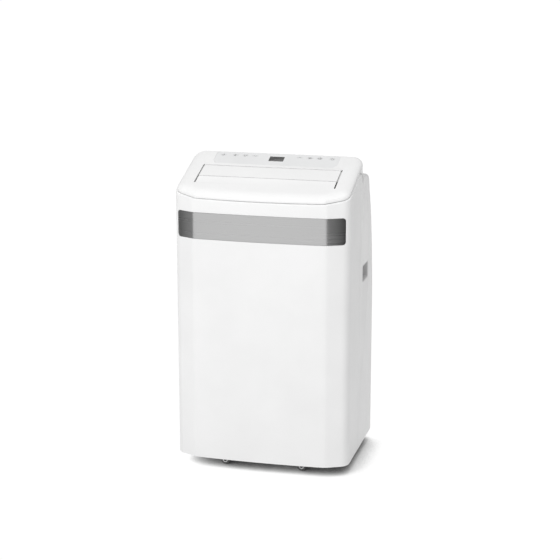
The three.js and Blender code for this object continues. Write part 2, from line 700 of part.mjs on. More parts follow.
const CONDENSER = { half: 185, y: 134, z: 160, depth: 24, height: 188 };
const TUBE = { r: 3.6, out: 9 }; // the bends at the coils' ends, and how far they stand out
function coil(halfWidth, depth, height, rows) {
  const bends = [];
  const pitch = height / rows;
  for (const side of [-1, 1])
    for (let row = side > 0 ? 0 : 1; row + 1 < rows; row += 2) {
      const z = -height / 2 + (row + 0.5) * pitch;
      const x0 = side > 0 ? halfWidth - 1 : -halfWidth - TUBE.out;
      bends.push(
        rod("x", TUBE.r, x0, x0 + TUBE.out + 1, 0, z, 6),
        rod("x", TUBE.r, x0, x0 + TUBE.out + 1, 0, z + pitch, 6),
        rod("z", TUBE.r, z, z + pitch, side * (halfWidth + TUBE.out - TUBE.r), 0, 6),
      );
    }
  return join(box(-halfWidth, halfWidth, -depth / 2, depth / 2, -height / 2, height / 2), ...bends);
}
const condenserCoil = coil(CONDENSER.half, CONDENSER.depth, CONDENSER.height, 6);
part("condenser_coil", condenserCoil, fins).position.set(0, CONDENSER.y, CONDENSER.z);

const evaporatorGroup = new THREE.Group();
evaporatorGroup.position.set(0, 98, 546);
evaporatorGroup.rotation.x = THREE.MathUtils.degToRad(11.5);
model.add(evaporatorGroup);
part("evaporator_coil", coil(160, 26, 240, 8), fins, evaporatorGroup);

// ---------- Middle deck: carries the upper blower and catches condensate ----------
const DECK = { z0: 398, floor: 401, rim: 418 };
const PIPE_HOLES = [
  [-178, 60, 9],
  [182, 60, 8],
]; // x, y and radius of the ways through for the suction and liquid pipes
function middleDeck() {
  const span = (d, z0, z1) => fromAbove(inset(planOutline(140, REAR_CORNER_R), d), z0, z1);
  const tray = cut(span(WALL + 1, DECK.z0, DECK.rim), span(WALL + 3.5, DECK.floor, DECK.rim + 1));
  const collars = PIPE_HOLES.map(([x, y, r]) => rod("z", r + 2.5, DECK.floor - 1, DECK.rim - 4, x, y));
  const holes = PIPE_HOLES.map(([x, y, r]) => rod("z", r, DECK.z0 - 2, DECK.rim, x, y));
  return cut(join(tray, ...collars), ...holes);
}
part("middle_deck", middleDeck(), foam);

// ---------- Blowers ----------
const TONGUE_DEG = 40; // where a volute's spiral starts
const tongueShare = Math.sin(THREE.MathUtils.degToRad(TONGUE_DEG));
const SCROLL_WALL = 2.5;

// Outline of a volute in (a, b): the spiral opens into a straight outlet that leaves along +a on the +b side.
function volute(r0, r1, outlet, grow) {
  const steps = 16;
  const sweep = 360 - (90 - TONGUE_DEG);
  const spiral = Array.from({ length: steps + 1 }, (_, i) => {
    const share = i / steps;
    const angle = THREE.MathUtils.degToRad(TONGUE_DEG - sweep * share);
    const radius = r0 + (r1 - r0) * share + grow;
    return [radius * Math.cos(angle), radius * Math.sin(angle)];
  });
  const exit = grow < 0 ? outlet + 5 : outlet; // a hollow's form runs out past the outlet
  return [...spiral, [exit, r1 + grow], [exit, r0 * tongueShare - grow]].reverse();
}

// A forward-curved centrifugal wheel about the local z axis.
function blowerWheel(radius, width, blades) {
  const disc = (r, from, to) => rod("z", r, from, to, 0, 0, 24);
  const vanes = Array.from({ length: blades }, (_, i) => {
    const vane = new THREE.BoxGeometry(15, 1.6, width - 3).rotateZ(0.6).translate(radius - 8.2, 0, 0);
    return solid(vane.rotateZ((i * 2 * Math.PI) / blades));
  });
  return cut(
    join(
      cut(disc(radius, width / 2 - 3, width / 2), disc(radius - 7, width / 2 - 4, width / 2 + 1)),
      disc(radius, -width / 2, -width / 2 + 3),
      rod("z", 13, -width / 2, 6, 0, 0, 16),
      ...vanes,
    ),
    rod("z", 4.4, -width, width, 0, 0, 12),
  );
}

// Upper blower: axis along y, outlet up.
const upFromFront = (points) => points.map(([a, b]) => [EVAP.x + b, EVAP.z + a]).reverse();
function evaporatorScroll() {
  const rise = EVAP.top - EVAP.z;
  return cut(
    fromFront(upFromFront(volute(EVAP.r0, EVAP.r1, rise, 0)), EVAP.y0, EVAP.y1),
    fromFront(
      upFromFront(volute(EVAP.r0, EVAP.r1, rise, -SCROLL_WALL)),
      EVAP.y0 + SCROLL_WALL,
      EVAP.y1 - SCROLL_WALL,
    ),
    rod("y", 70, EVAP.y1 - 5, EVAP.y1 + 5, EVAP.x, EVAP.z, 32),
    rod("y", 12, EVAP.y0 - 5, EVAP.y0 + 5, EVAP.x, EVAP.z, 16),
  );
}
part("evaporator_scroll", evaporatorScroll(), foam);
const evaporatorFan = part("evaporator_fan", blowerWheel(84, 60, 14), darkPlastic);
evaporatorFan.rotation.x = -Math.PI / 2;
evaporatorFan.position.set(EVAP.x, (EVAP.y0 + EVAP.y1) / 2, EVAP.z);

function motorSolid(radius, length, shaft) {
  return join(
    rod("z", radius, 0, length, 0, 0, 24),
    rod("z", radius * 0.45, -3, length + 3, 0, 0, 16),
    rod("z", 4, -shaft, 1, 0, 0, 12),
  );
}
const evaporatorMotor = part("evaporator_motor", motorSolid(42, 40, 42), steel);
evaporatorMotor.rotation.x = Math.PI / 2;
evaporatorMotor.position.set(EVAP.x, EVAP.y0 - 6, EVAP.z);

// Exhaust blower: axis along x, outlet towards the back, level with the exhaust collar.
const COND = { x0: 15, x1: 105, y: 20, r0: 78, r1: 106, back: 142 };
const condZ = EXHAUST.z - (COND.r1 + COND.r0 * tongueShare) / 2;
const backFromSide = (points) => points.map(([a, b]) => [COND.y + a, condZ + b]);
function condenserScroll() {
  const run = COND.back - COND.y;
  return cut(
    fromSide(backFromSide(volute(COND.r0, COND.r1, run, 0)), COND.x0, COND.x1),
    fromSide(
      backFromSide(volute(COND.r0, COND.r1, run, -SCROLL_WALL)),
      COND.x0 + SCROLL_WALL,
      COND.x1 - SCROLL_WALL,
    ),
    rod("x", 56, COND.x0 - 5, COND.x0 + 5, COND.y, condZ, 32),
    rod("x", 12, COND.x1 - 5, COND.x1 + 5, COND.y, condZ, 16),
  );
}
part("condenser_scroll", condenserScroll(), greyPlastic);
const condenserFan = part("condenser_fan", blowerWheel(68, 74, 12), darkPlastic);
condenserFan.rotation.y = -Math.PI / 2;
condenserFan.position.set((COND.x0 + COND.x1) / 2, COND.y, condZ);
const condenserMotor = part("condenser_motor", motorSolid(40, 44, 52), steel);
condenserMotor.rotation.y = Math.PI / 2;
condenserMotor.position.set(COND.x1 + 6, COND.y, condZ);

// ---------- Splash wheel that throws condensate onto the condenser ----------
const SPLASH = { x: 30, y: 96, z: 62, r: 24, shaft: 3 };
function splashWheel() {
  const paddles = [0, 1, 2, 3].map((i) =>
    solid(new THREE.BoxGeometry(2 * SPLASH.r, 2.4, 12).rotateZ((i * Math.PI) / 4)),
  );
  const bore = rod("z", SPLASH.shaft + CLEAR, -10, 10, 0, 0, 12);
  return cut(join(rod("z", SPLASH.r - 8, -3, 3, 0, 0), ...paddles), bore);
}
const splash = part("splash_wheel", splashWheel(), darkPlastic);
splash.rotation.x = Math.PI / 2;
splash.position.set(SPLASH.x, SPLASH.y, SPLASH.z);
function splashMotor() {
  const { x, y, z, shaft } = SPLASH;
  return join(
    rod("y", shaft, y - 14, y + 4, x, z, 12),
    rod("y", 20, y - 32, y - 12, x, z),
    box(x - 12, x + 12, y - 30, y - 14, PAN.floor + CLEAR, z),
  );
}
part("splash_motor", splashMotor(), greyPlastic);

// ---------- Electrics and pipework ----------
const EBOX = { x0: 150, x1: 204, y0: -90, y1: 14, z0: 430, z1: 600, wall: 2.5 };
function electricalBox() {
  const { x0, x1, y0, y1, z0, z1, wall } = EBOX;
  const inside = box(x0 + wall, x1 + 5, y0 + wall, y1 - wall, z0 + wall, z1 - wall);
  return cut(box(x0, x1, y0, y1, z0, z1), inside);
}
part("electrical_box", electricalBox(), steel);

const dischargePipe = [
  [COMPRESSOR.x, COMPRESSOR.y, 302],
  [COMPRESSOR.x, COMPRESSOR.y + 2, 330],
  [COMPRESSOR.x - 30, COMPRESSOR.y + 30, 352],
  [COMPRESSOR.x - 66, 100, 330],
  [COMPRESSOR.x - 66, 126, 290],
  [COMPRESSOR.x - 60, 134, 257],
];
part("discharge_pipe", pipe(dischargePipe, 4, 18), copper);

const suctionPipe = [
  [ACCUMULATOR.x, ACCUMULATOR.y, 254],
  [ACCUMULATOR.x - 4, ACCUMULATOR.y, 300],
  [ACCUMULATOR.x - 40, ACCUMULATOR.y + 20, 340],
  [-178, 40, 370],
  [-178, 60, 400],
  [-178, 64, 440],
  [-178, 84, 480],
  [-178, 100, 500],
];
part("suction_pipe", pipe(suctionPipe, 6, 22), copper);

const liquidPipe = [
  [204, 134, 232],
  [204, 132, 300],
  [190, 100, 350],
  [182, 60, 380],
  [182, 60, 420],
  [180, 84, 470],
  [180, 100, 520],
];
part("liquid_pipe", pipe(liquidPipe, 3.2, 22), copper);

export default model;
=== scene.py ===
"""Portable air conditioner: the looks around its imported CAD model.

Lengths are in millimetres and become metres where a mesh is made. The front faces -Y and +Z is up.
"""

import json
import math

import bmesh
import bpy
from mathutils import Matrix, Vector
from mathutils.geometry import interpolate_bezier

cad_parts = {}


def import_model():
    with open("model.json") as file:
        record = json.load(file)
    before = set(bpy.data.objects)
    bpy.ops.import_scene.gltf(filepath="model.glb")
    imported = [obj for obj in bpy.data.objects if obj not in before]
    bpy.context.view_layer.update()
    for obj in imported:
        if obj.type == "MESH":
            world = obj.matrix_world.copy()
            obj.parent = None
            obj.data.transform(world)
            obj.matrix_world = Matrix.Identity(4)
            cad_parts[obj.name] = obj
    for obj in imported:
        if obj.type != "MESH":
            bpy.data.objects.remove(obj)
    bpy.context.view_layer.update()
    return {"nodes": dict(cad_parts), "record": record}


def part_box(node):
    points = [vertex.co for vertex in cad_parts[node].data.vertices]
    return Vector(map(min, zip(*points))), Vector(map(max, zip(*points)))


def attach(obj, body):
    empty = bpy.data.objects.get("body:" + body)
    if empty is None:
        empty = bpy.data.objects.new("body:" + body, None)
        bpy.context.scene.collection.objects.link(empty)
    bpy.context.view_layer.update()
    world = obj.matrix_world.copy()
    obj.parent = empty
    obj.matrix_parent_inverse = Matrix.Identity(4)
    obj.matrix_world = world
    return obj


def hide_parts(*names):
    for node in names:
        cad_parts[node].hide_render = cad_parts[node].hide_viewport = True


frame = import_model()
MM = 0.001

# ---------- Driving dimensions ----------
HALF_W = 220
FRONT_Y = -172
CROWN = 6
REAR_Y = 160
PLINTH_Y = 172
BODY_Z = 27
WALL = 3
GAP = 0.5
FLAT_HALF = 167
CANT_END = (203, -149)
FRONT_CORNER_R = 29.7
FRONT_CORNER_Y = -122.2  # where the front corners' centres lie
SPLIT_Y = -19
TOP_Z = 776
TOP_RISE = 0.341
TOP_REAR_Y = 41
LID_DEPTH = 13
LID_INSET = 3
ROLL = {"wide": 26, "deep": 10, "rear": 8}
SHOULDER_RISE = -0.172
BAND = {"z0": 591.3, "z1": 656.9, "half": 210, "radius": 7, "depth": 2.5}
HANDLE = {"y0": 19, "y1": 87, "z0": 459, "z1": 501, "radius": 6, "depth": 27, "wall": 2.5}
UPPER_GRILLE = {"half": 166, "z0": 446, "z1": 684}
LOWER_GRILLE = {"half": 166, "z0": 64, "z1": 248}
EXHAUST = {"x": 60, "z": 343, "bore": 71, "flange": 84}
LOUVER = {
    "half": 173.3,
    "slot": 177.3,
    "v0": 33.8,
    "seam": 67.6,
    "gap": 1.9,
    "v1": 127.5,
    "pivot": 6,
    "lip": 4.6,
}
PIVOT_V = 121
STRIP = {"v0": 135, "v1": 194, "front": 150, "rear": 158, "depth": 1.5}
DISPLAY = {"half": 18.5, "v0": 156.5, "v1": 180}
KEYS = dict(
    zip(
        ("ion", "sleep", "fan", "down", "up", "mode", "timer", "power"),
        (-140, -108, -83, -57, 57, 83, 108, 140),
    )
)
KEY = {"v": 179, "r": 6.1, "gap": 0.4}
SLOPE_Y = -150
WHEEL_R = 11


def top_z(y):
    return TOP_Z + TOP_RISE * (y - TOP_REAR_Y)


def lid_z(y):
    return top_z(y) - LID_DEPTH


def shoulder_z(y):
    return lid_z(SPLIT_Y) + SHOULDER_RISE * (y - SPLIT_Y)


slope = Matrix.Translation((0, SLOPE_Y, top_z(SLOPE_Y))) @ Matrix.Rotation(math.atan(TOP_RISE), 4, "X")

# ---------- Outlines ----------


def arc(cx, cy, r, start, end, steps):
    angles = [math.radians(start + (end - start) * i / steps) for i in range(steps + 1)]
    return [(cx + r * math.cos(a), cy + r * math.sin(a)) for a in angles]


def mirrored(points):
    return [(-x, y) for x, y in reversed(points)]


def rounded_box(x0, x1, y0, y1, r, steps=6):
    return [
        *arc(x1 - r, y0 + r, r, -90, 0, steps),
        *arc(x1 - r, y1 - r, r, 0, 90, steps),
        *arc(x0 + r, y1 - r, r, 90, 180, steps),
        *arc(x0 + r, y0 + r, r, 180, 270, steps),
    ]


def filleted(corners, steps=8):
    """A closed outline from (x, y, radius) corners, each rounded where its radius isn't 0."""
    outline = []
    for i, (x, y, r) in enumerate(corners):
        here = Vector((x, y))
        before = Vector(corners[i - 1][:2]) - here
        after = Vector(corners[(i + 1) % len(corners)][:2]) - here
        if r == 0:
            outline.append((x, y))
            continue
        half = before.angle(after) / 2
        reach = r / math.tan(half)
        start, end = here + before.normalized() * reach, here + after.normalized() * reach
        centre = here + (before.normalized() + after.normalized()).normalized() * r / math.sin(half)
        turn = (start - centre).angle_signed(end - centre)
        for k in range(steps + 1):
            outline.append(tuple(centre + Matrix.Rotation(-turn * k / steps, 2) @ (start - centre)))
    return outline


def normals_of(outline, closed=True):
    """Outward normals of an anticlockwise outline, as long as an even inset moves each corner."""
    found = []
    for i, point in enumerate(outline):
        last = outline[i - 1] if closed or i else point
        after = outline[(i + 1) % len(outline)] if closed or i + 1 < len(outline) else point
        sides = []
        for a, b in ((last, point), (point, after)):
            if a != b:
                sides.append(Vector((b[1] - a[1], a[0] - b[0])).normalized())
        if len(sides) == 1:
            sides *= 2
        found.append((sides[0] + sides[1]) / (1 + sides[0].dot(sides[1])))
    return found


def inset(outline, distance):
    return [(x - n.x * distance, y - n.y * distance) for (x, y), n in zip(outline, normals_of(outline))]


def crown_points(half, edge_y, crown_y, steps=24):
    sag = edge_y - crown_y
    radius = (half * half + sag * sag) / (2 * sag)
    reach = math.degrees(math.asin(half / radius))
    return arc(0, crown_y + radius, radius, -90 - reach, -90 + reach, steps)


def casing_path():
    """The front casing's plan from the left joint round the front to the right one, with softened creases."""
    edge_y = FRONT_Y + CROWN
    cant = math.degrees(math.atan2(CANT_END[1] - edge_y, CANT_END[0] - FLAT_HALF))
    crown = crown_points(FLAT_HALF, edge_y, FRONT_Y)
    crease = Vector((FLAT_HALF, edge_y))
    before = Vector(crown[-2])
    soft = 11
    start = crease + (before - crease).normalized() * soft
    end = crease + (Vector(CANT_END) - crease).normalized() * soft
    curve = interpolate_bezier(start.to_3d(), crease.to_3d(), crease.to_3d(), end.to_3d(), 7)
    corner = arc(HALF_W - FRONT_CORNER_R, FRONT_CORNER_Y, FRONT_CORNER_R, cant - 90, 0, 16)
    sides = [(HALF_W, y) for y in (-110, -90, -70, -50, -30, SPLIT_Y - GAP / 2)]
    right = [(p.x, p.y) for p in curve] + corner + sides
    return mirrored(right) + crown[1:-1] + right


# ---------- Meshes ----------


def mesh_object(name, points, faces):
    mesh = bpy.data.meshes.new(name)
    mesh.from_pydata([Vector(p) * MM for p in points], [], faces)
    work = bmesh.new()
    work.from_mesh(mesh)
    bmesh.ops.remove_doubles(work, verts=work.verts, dist=1e-7)
    bmesh.ops.recalc_face_normals(work, faces=work.faces)
    work.to_mesh(mesh)
    work.free()
    obj = bpy.data.objects.new(name, mesh)
    bpy.context.collection.objects.link(obj)
    return obj


def loft(name, loops, place=None):
    """A closed solid through equal loops of points, with a flat cap at each end."""
    count = len(loops[0])
    points = [place @ Vector(p) if place else Vector(p) for loop in loops for p in loop]
    last = (len(loops) - 1) * count
    faces = [list(range(count)), list(range(last, last + count))]
    for a in range(0, last, count):
        for i in range(count):
            j = (i + 1) % count
            faces.append([a + i, a + j, a + count + j, a + count + i])
    return mesh_object(name, points, faces)


PLANES = {
    "above": lambda a, b, c: (a, b, c),
    "side": lambda a, b, c: (c, a, b),
    "front": lambda a, b, c: (a, c, b),
}


def prism(name, outline, plane, start, end, place=None):
    turn = PLANES[plane]
    return loft(name, [[turn(a, b, c) for a, b in outline] for c in (start, end)], place)


def block(name, x0, x1, y0, y1, z0, z1, place=None):
    return prism(name, [(x0, y0), (x1, y0), (x1, y1), (x0, y1)], "above", z0, z1, place)


def turned(name, profile, centre, axis="y", segments=64):
    """A solid of revolution from (radius, place along the axis) points, about an axis through centre."""
    turn = {"x": "side", "y": "front", "z": "above"}[axis]
    start = {"x": (1, 2, 0), "y": (0, 2, 1), "z": (0, 1, 2)}[axis]
    a0, b0, c0 = (centre[k] for k in start)
    loops = []
    for r, along in profile:
        circle = arc(a0, b0, max(r, 0.01), 0, 360 - 360 / segments, segments - 1)
        loops.append([PLANES[turn](a, b, c0 + along) for a, b in circle])
    return loft(name, loops)


def sweep(name, path, section):
    """Sweeps section(x, y), a closed list of (inset, z), along an open plan path."""
    loops = []
    for (x, y), n in zip(path, normals_of(path, closed=False)):
        loops.append([(x - n.x * d, y - n.y * d, z) for d, z in section(x, y)])
    return loft(name, loops)


def bake(obj):
    """Applies the object's modifiers."""
    mesh = bpy.data.meshes.new_from_object(obj.evaluated_get(bpy.context.evaluated_depsgraph_get()))
    obj.modifiers.clear()
    obj.data = mesh
    return obj


def joined(objects):
    """One object from several that don't touch."""
    work = bmesh.new()
    for obj in objects:
        work.from_mesh(obj.data)
    first = objects[0]
    work.to_mesh(first.data)
    work.free()
    for obj in objects[1:]:
        bpy.data.objects.remove(obj)
    return first


def boolean(target, operation, *tools):
    for tool in tools:
        step = target.modifiers.new("boolean", "BOOLEAN")
        step.operation = operation
        step.solver = "EXACT"
        step.object = tool
        bake(target)
        bpy.data.objects.remove(tool)
    return target


def cut(target, *tools):
    return boolean(target, "DIFFERENCE", *tools)


def soften(obj, width, segments=2, angle=35):
    """Rounds the sharp edges, then shades smoothly."""
    if width:
        step = obj.modifiers.new("bevel", "BEVEL")
        step.width = width * MM
        step.segments = segments
        step.limit_method = "ANGLE"
        step.angle_limit = math.radians(angle)
        step.use_clamp_overlap = True
        bake(obj)
    obj.data.shade_smooth()
    obj.data.set_sharp_from_angle(angle=math.radians(angle))
    return obj


# ---------- Materials ----------


class Shader:
    """A Principled material whose colour, roughness and bump come from noise in the piece's own space."""

    def __init__(self, name, roughness, metallic=0.0, **uniform):
        self.material = bpy.data.materials.new(name)
        self.material.use_nodes = True
        self.nodes = self.material.node_tree.nodes
        self.links = self.material.node_tree.links
        self.shader = self.nodes["Principled BSDF"]
        self.shader.inputs["Roughness"].default_value = roughness
        self.shader.inputs["Metallic"].default_value = metallic
        for socket, value in uniform.items():
            self.shader.inputs[socket.replace("_", " ")].default_value = value
        self.place = self.nodes.new("ShaderNodeTexCoord").outputs["Object"]

    def noise(self, scale, detail=3.0, stretch=(1, 1, 1)):
        mapping = self.nodes.new("ShaderNodeMapping")
        mapping.inputs["Scale"].default_value = stretch
        texture = self.nodes.new("ShaderNodeTexNoise")
        texture.inputs["Scale"].default_value = scale
        texture.inputs["Detail"].default_value = detail
        self.links.new(self.place, mapping.inputs["Vector"])
        self.links.new(mapping.outputs["Vector"], texture.inputs["Vector"])
        return texture.outputs["Fac"]

    def colour(self, value, low, high):
        ramp = self.nodes.new("ShaderNodeValToRGB")
        ramp.color_ramp.elements[0].position = 0.3
        ramp.color_ramp.elements[1].position = 0.7
        ramp.color_ramp.elements[0].color = (*low, 1)
        ramp.color_ramp.elements[1].color = (*high, 1)
        self.links.new(value, ramp.inputs["Fac"])
        self.links.new(ramp.outputs["Color"], self.shader.inputs["Base Color"])
        return self

    def roughness(self, value, low, high):
        spread = self.nodes.new("ShaderNodeMapRange")
        spread.inputs["From Min"].default_value = 0.3
        spread.inputs["From Max"].default_value = 0.7
        spread.inputs["To Min"].default_value = low
        spread.inputs["To Max"].default_value = high
        self.links.new(value, spread.inputs["Value"])
        self.links.new(spread.outputs["Result"], self.shader.inputs["Roughness"])
        return self

    def bump(self, value, depth_mm, strength=1.0):
        bump = self.nodes.new("ShaderNodeBump")
        bump.inputs["Distance"].default_value = depth_mm * MM
        bump.inputs["Strength"].default_value = strength
        self.links.new(value, bump.inputs["Height"])
        self.links.new(bump.outputs["Normal"], self.shader.inputs["Normal"])
        return self


def grey(level, tint=(1, 1, 1)):
    return tuple(level * t for t in tint)


def moulded(name, low, high, roughness, grain_mm=0.02, scale=900, tint=(1, 1, 1), **uniform):
    """Moulded plastic: cloudy colour, a fine spark-eroded grain and a slightly uneven gloss."""
    made = Shader(name, roughness, **uniform)
    made.colour(made.noise(9), grey(low, tint), grey(high, tint))
    made.roughness(made.noise(60), roughness - 0.04, roughness + 0.05)
    made.bump(made.noise(scale, 2.0), grain_mm)
    return made.material


def metal(name, low, high, roughness, stretch=(1, 1, 1), scale=80, tint=(1, 1, 1), metallic=1.0):
    made = Shader(name, roughness, metallic)
    made.colour(made.noise(scale, 4.0, stretch), grey(low, tint), grey(high, tint))
    made.roughness(made.noise(scale * 2, 3.0, stretch), roughness - 0.06, roughness + 0.08)
    made.bump(made.noise(scale * 6, 3.0, stretch), 0.02)
    return made.material


BAND_SHADE_REACH = (0.172, 0.214)  # distances from the middle, in metres, over which painted shade darkens the band


def silver():
    """Satin foil: fine lengthwise brushing, and painted shade, a colour that darkens round the corners of the
    casing.
    """
    made = Shader("trim_silver", 0.3, 0.9)
    across = made.nodes.new("ShaderNodeSeparateXYZ")
    made.links.new(made.place, across.inputs["Vector"])
    away = made.nodes.new("ShaderNodeMath")
    away.operation = "ABSOLUTE"
    made.links.new(across.outputs["X"], away.inputs[0])
    shade_share = made.nodes.new("ShaderNodeMapRange")
    shade_share.interpolation_type = "SMOOTHSTEP"
    shade_share.inputs["From Min"].default_value, shade_share.inputs["From Max"].default_value = BAND_SHADE_REACH
    made.links.new(away.outputs["Value"], shade_share.inputs["Value"])
    streaks = made.noise(60, 4.0, (0.02, 0.02, 6))
    made.colour(streaks, grey(0.49), grey(0.51))
    # Painted shade: the colour mixes to a darker grey towards the band's ends; the rest of their darkness is
    # the dark cards' reflection.
    tone = made.nodes.new("ShaderNodeMix")
    tone.data_type = "RGBA"
    made.links.new(shade_share.outputs["Result"], tone.inputs["Factor"])
    ramp = made.shader.inputs["Base Color"].links[0].from_socket
    made.links.new(ramp, tone.inputs["A"])
    tone.inputs["B"].default_value = (0.24, 0.24, 0.24, 1)
    made.links.new(tone.outputs["Result"], made.shader.inputs["Base Color"])
    made.roughness(streaks, 0.26, 0.32)
    return made.material


FINISH = {
    "casing_white": moulded("casing_white", 0.75, 0.78, 0.42, grain_mm=0.006, Specular_IOR_Level=0.35),
    "trim_silver": silver(),
    # The handle cups' mid grey is darker than the casing's white; part of that is painted shade for the deep
    # recess.
    "handle_grey": moulded("handle_grey", 0.57, 0.62, 0.55, grain_mm=0.05),
    "overlay_grey": moulded("overlay_grey", 0.69, 0.73, 0.4, grain_mm=0.006, tint=(0.99, 0.995, 1)),
    "display_dark": moulded("display_dark", 0.05, 0.065, 0.2, grain_mm=0.001),
    "inner_white": moulded("inner_white", 0.68, 0.74, 0.5, grain_mm=0.03),
    "inner_grey": moulded("inner_grey", 0.12, 0.16, 0.55, grain_mm=0.04),
    "inner_black": moulded("inner_black", 0.016, 0.026, 0.5, grain_mm=0.03),
    "foam_white": moulded("foam_white", 0.72, 0.82, 0.85, grain_mm=0.4, scale=260),
    "rubber_black": moulded("rubber_black", 0.014, 0.024, 0.82, grain_mm=0.04),
    "zinc_steel": metal("zinc_steel", 0.48, 0.66, 0.38, scale=45),
    "black_paint": moulded("black_paint", 0.012, 0.02, 0.36, grain_mm=0.06, scale=300, Coat_Weight=0.3),
    "coil_fins": metal("coil_fins", 0.35, 0.75, 0.34, stretch=(60, 0.2, 0.2), scale=12),
    "copper_pipe": metal("copper_pipe", 0.62, 0.85, 0.3, scale=30, tint=(1.0, 0.58, 0.4)),
    "circuit_board": moulded("circuit_board", 0.06, 0.1, 0.4, scale=400, tint=(0.25, 1.0, 0.42)),
}
PRINT = moulded("key_print", 0.16, 0.2, 0.5, grain_mm=0.002)
HUB_SHADE = moulded("caster_hub_shade", 0.05, 0.07, 0.45)
TYRE = moulded("caster_tyre", 0.1, 0.13, 0.6, grain_mm=0.03)
RIM = moulded("caster_rim", 0.86, 0.92, 0.4, grain_mm=0.01)
NET = moulded("filter_net", 0.03, 0.05, 0.7, grain_mm=0.4, scale=700)

node_slot = {entry["node"]: entry["material_slot"] for entry in frame["record"]["subparts"]}
node_body = {node: body for body, nodes in frame["record"]["behaviour"]["bodies"].items() for node in nodes}


def stand_in(obj, node, material=None):
    """Puts obj in a CAD node's place, on its body and in its finish."""
    obj.data.materials.clear()
    obj.data.materials.append(material or FINISH[node_slot[node]])
    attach(obj, node_body[node])
    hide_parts(node)
    return obj


def detail(obj, body, slot, material=None):
    """An extra piece that no CAD node stands for."""
    obj.data.materials.append(material or FINISH[slot])
    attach(obj, body)
    return obj


def solid_copy(node, name):
    """A CAD node's own solid, as a new mesh with shared corners."""
    mesh = frame["nodes"][node].data.copy()
    obj = bpy.data.objects.new(name, mesh)
    bpy.context.collection.objects.link(obj)
    work = bmesh.new()
    work.from_mesh(mesh)
    bmesh.ops.remove_doubles(work, verts=work.verts, dist=1e-6)
    bmesh.ops.dissolve_limit(work, angle_limit=math.radians(1), verts=work.verts, edges=work.edges)
    work.to_mesh(mesh)
    work.free()
    return obj


def refined(node, width=0.5, angle=35, segments=2, material=None):
    """A CAD node with rounded edges and smooth curves in place of facets."""
    fine = soften(solid_copy(node, node + "_fine"), width, segments, angle)
    level = fine.modifiers.new("flat faces stay flat", "WEIGHTED_NORMAL")
    level.keep_sharp = True
    return stand_in(bake(fine), node, material)


# ---------- Front casing and trim band ----------


def front_casing():
    path = casing_path()

    def section(x, y):
        low, high = BODY_Z, lid_z(y) - GAP / 2
        return [
            (2.6, low),
            (1.2, low),
            (0.35, low + 0.35),
            (0, low + 1.2),
            (0, (low + high) / 2),
            (0, high - 5),
            (0.4, high - 2.9),
            (1.5, high - 1.1),
            (3.2, high - 0.2),
            (5, high),
            (7, high),
            (7, high - 2.5),
            (WALL + 1, high - 3.4),
            (WALL, high - 6),
            (WALL, low + 0.6),
        ]

    shell = sweep("front_casing", path, section)
    cut(shell, band_solid("band_pocket", 0.35, -2, BAND["depth"]))
    return stand_in(soften(shell, 0), "front_panel")


def band_solid(name, grow, outer, inner):
    """The band's strip of the front between two insets, its ends rounded as seen from the front."""
    half, radius = BAND["half"] + grow, BAND["radius"] + grow
    middle = (BAND["z0"] + BAND["z1"]) / 2
    tall = (BAND["z1"] - BAND["z0"]) / 2 + grow
    path = [p for p in casing_path() if abs(p[0]) < half and p[1] < -130]
    ends = arc(HALF_W - FRONT_CORNER_R, FRONT_CORNER_Y, FRONT_CORNER_R, -52, -30, 22)
    right = [p for p in ends if path[-1][0] < p[0] < half]
    share = (half - (HALF_W - FRONT_CORNER_R)) / FRONT_CORNER_R
    right.append((half, FRONT_CORNER_Y - FRONT_CORNER_R * math.sin(math.acos(share))))
    path = mirrored(right) + path + right

    def section(x, y):
        over = max(abs(x) - (half - radius), 0)
        reach = tall - radius + math.sqrt(max(radius * radius - over * over, 0))
        edge = min(0.5, (inner - outer) / 3)
        return [
            (outer, middle - reach + edge),
            (outer, middle + reach - edge),
            (outer + edge, middle + reach),
            (inner, middle + reach),
            (inner, middle - reach),
            (outer + edge, middle - reach),
        ]

    return sweep(name, path, section)


front_casing()
stand_in(soften(band_solid("silver_band", 0, 0.4, BAND["depth"] - 0.3), 0, angle=30), "trim_band")

# ---------- Rear casing ----------
BACK_LEAN = [(REAR_Y, 395), (157, 440), (148, 515), (135, 592), (119, 648), (104, 690)]
SHOULDER_CORNER = (93.3, shoulder_z(93.3))
EDGE_R = 10
PORTS = [(-190, 236, 8.4), (-150, 46, 8.4), (188, 90, 9.4)]  # x, z and radius: two drains, the lead inlet
NOTCH = {"y": 8, "z": 726, "deep": 4, "long": 5, "tall": 11}


def smooth_line(points, steps=10):
    """A Catmull-Rom line through points."""
    ends = [points[0], *points, points[-1]]
    line = []
    for i in range(1, len(ends) - 2):
        p0, p1, p2, p3 = (Vector(p) for p in ends[i - 1 : i + 3])
        for k in range(steps):
            t = k / steps
            line.append(
                tuple(
                    0.5
                    * (
                        2 * p1
                        + (p2 - p0) * t
                        + (2 * p0 - 5 * p1 + 4 * p2 - p3) * t * t
                        + (3 * p1 - p0 - 3 * p2 + p3) * t * t * t
                    )
                )
            )
    return line + [points[-1]]


def grip_outline(grow):
    h = HANDLE
    return rounded_box(h["y0"] - grow, h["y1"] + grow, h["z0"] - grow, h["z1"] + grow, h["radius"])


def rear_profile():
    """The rear casing from the side, as (y, z) anticlockwise, run on past its joint and its lower edge."""
    front = SPLIT_Y - 20
    corners = [(y, z, 0) for y, z in smooth_line(BACK_LEAN)]
    return filleted(
        [(front, BODY_Z - 20, 0), (REAR_Y, BODY_Z - 20, 0)]
        + corners
        + [(*SHOULDER_CORNER, 22), (front, shoulder_z(front), 0)]
    )


def rear_form(name, d):
    """The rear casing's form, d inside its surface, with a rounded edge down each side."""
    loops = []
    steps = 6
    edge = EDGE_R - d
    profile = rear_profile()
    for side in (-1, 1):
        for i in range(steps + 1):
            angle = math.pi / 2 * (i if side < 0 else steps - i) / steps
            x = side * (HALF_W - d - edge * (1 - math.cos(angle)))
            loops.append([(x, y, z) for y, z in inset(profile, d + edge * (1 - math.sin(angle)))])
    return loft(name, loops)


